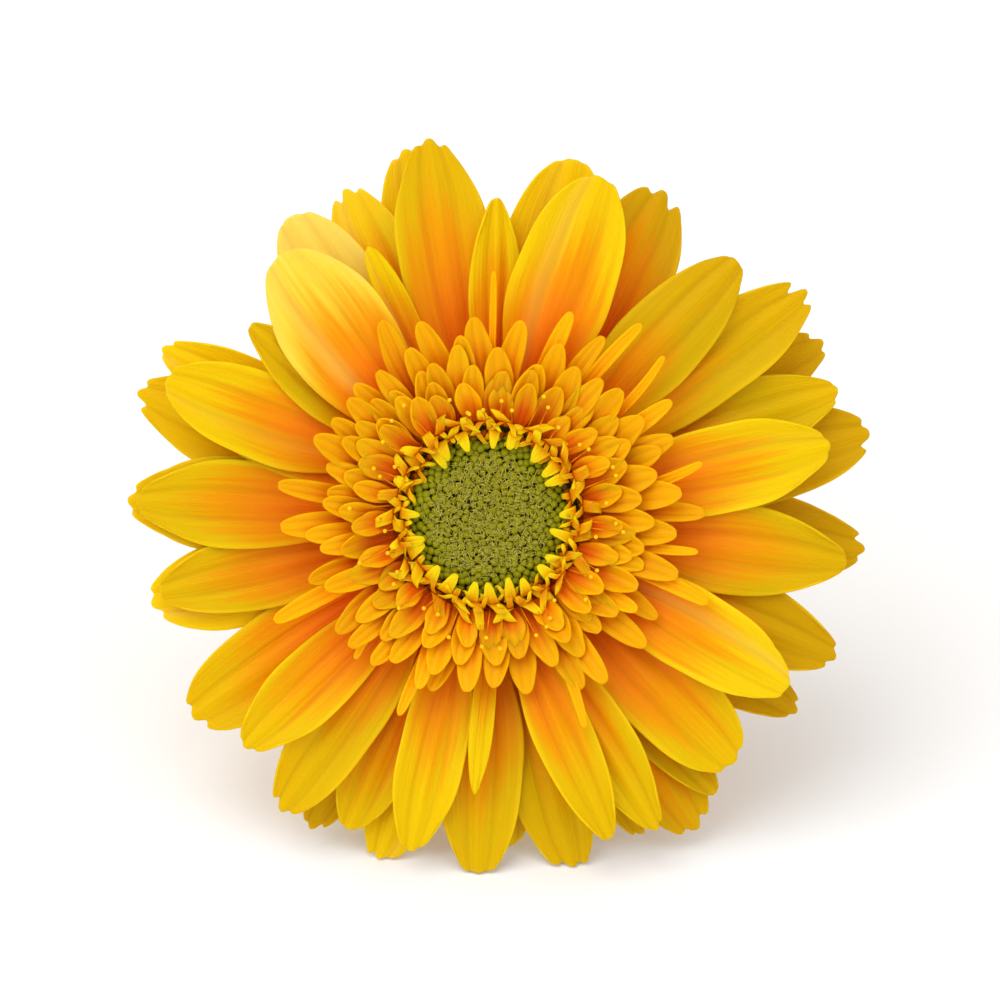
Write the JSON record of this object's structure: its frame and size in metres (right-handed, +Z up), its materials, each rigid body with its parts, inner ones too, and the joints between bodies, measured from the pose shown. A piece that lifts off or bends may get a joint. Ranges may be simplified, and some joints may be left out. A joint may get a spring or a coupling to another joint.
{
  "type": "cut gerbera",
  "caption": "Cut gerbera daisy lying on a surface: layered strap petals round a green bud disc, green bracts behind, short bowed cut stem.",
  "frame": {"origin": "on the surface the flower lies on, under the middle of its bounding box", "axes": "+Z up from the surface; the head faces -Y, looking up 30 degrees; the stem lies along +Y; +X is to the right of someone facing the flower"},
  "size_m": [0.1004, 0.1684, 0.0857],
  "materials": {
    "ray": "satin petal, golden yellow going to orange at the base",
    "inner_floret": "satin petal, orange with a yellow rim",
    "open_floret": "satin, bright yellow lips",
    "bud": "dull, olive green, finely hairy",
    "bract": "dull, finely hairy green",
    "green": "satin, finely hairy and ribbed fresh green"
  },
  "bodies": {
    "root": {"ray_01": "ray", "ray_02": "ray", "ray_03": "ray", "ray_04": "ray", "ray_05": "ray", "ray_06": "ray", "ray_07": "ray", "ray_08": "ray", "ray_09": "ray", "ray_10": "ray", "ray_11": "ray", "ray_12": "ray", "ray_13": "ray", "ray_14": "ray", "ray_15": "ray", "ray_16": "ray", "ray_17": "ray", "ray_18": "ray", "ray_19": "ray", "ray_20": "ray", "ray_21": "ray", "ray_22": "ray", "ray_23": "ray", "ray_24": "ray", "ray_25": "ray", "ray_26": "ray", "ray_27": "ray", "ray_28": "ray", "ray_29": "ray", "ray_30": "ray", "ray_31": "ray", "ray_32": "ray", "ray_33": "ray", "ray_34": "ray", "ray_35": "ray", "ray_36": "ray", "ray_37": "ray", "ray_38": "ray", "ray_39": "ray", "ray_40": "ray", "ray_41": "ray", "ray_42": "ray", "ray_43": "ray", "ray_44": "ray", "ray_45": "ray", "ray_46": "ray", "ray_47": "ray", "inner_row_outer": "inner_floret", "inner_row_third": "inner_floret", "inner_row_second": "inner_floret", "inner_row_inner": "inner_floret", "open_florets": "open_floret", "disc_buds": "bud", "receptacle": "green", "bracts_inner": "bract", "bracts_middle": "bract", "bracts_outer": "bract", "stem": "green"}
  },
  "joints": []
}
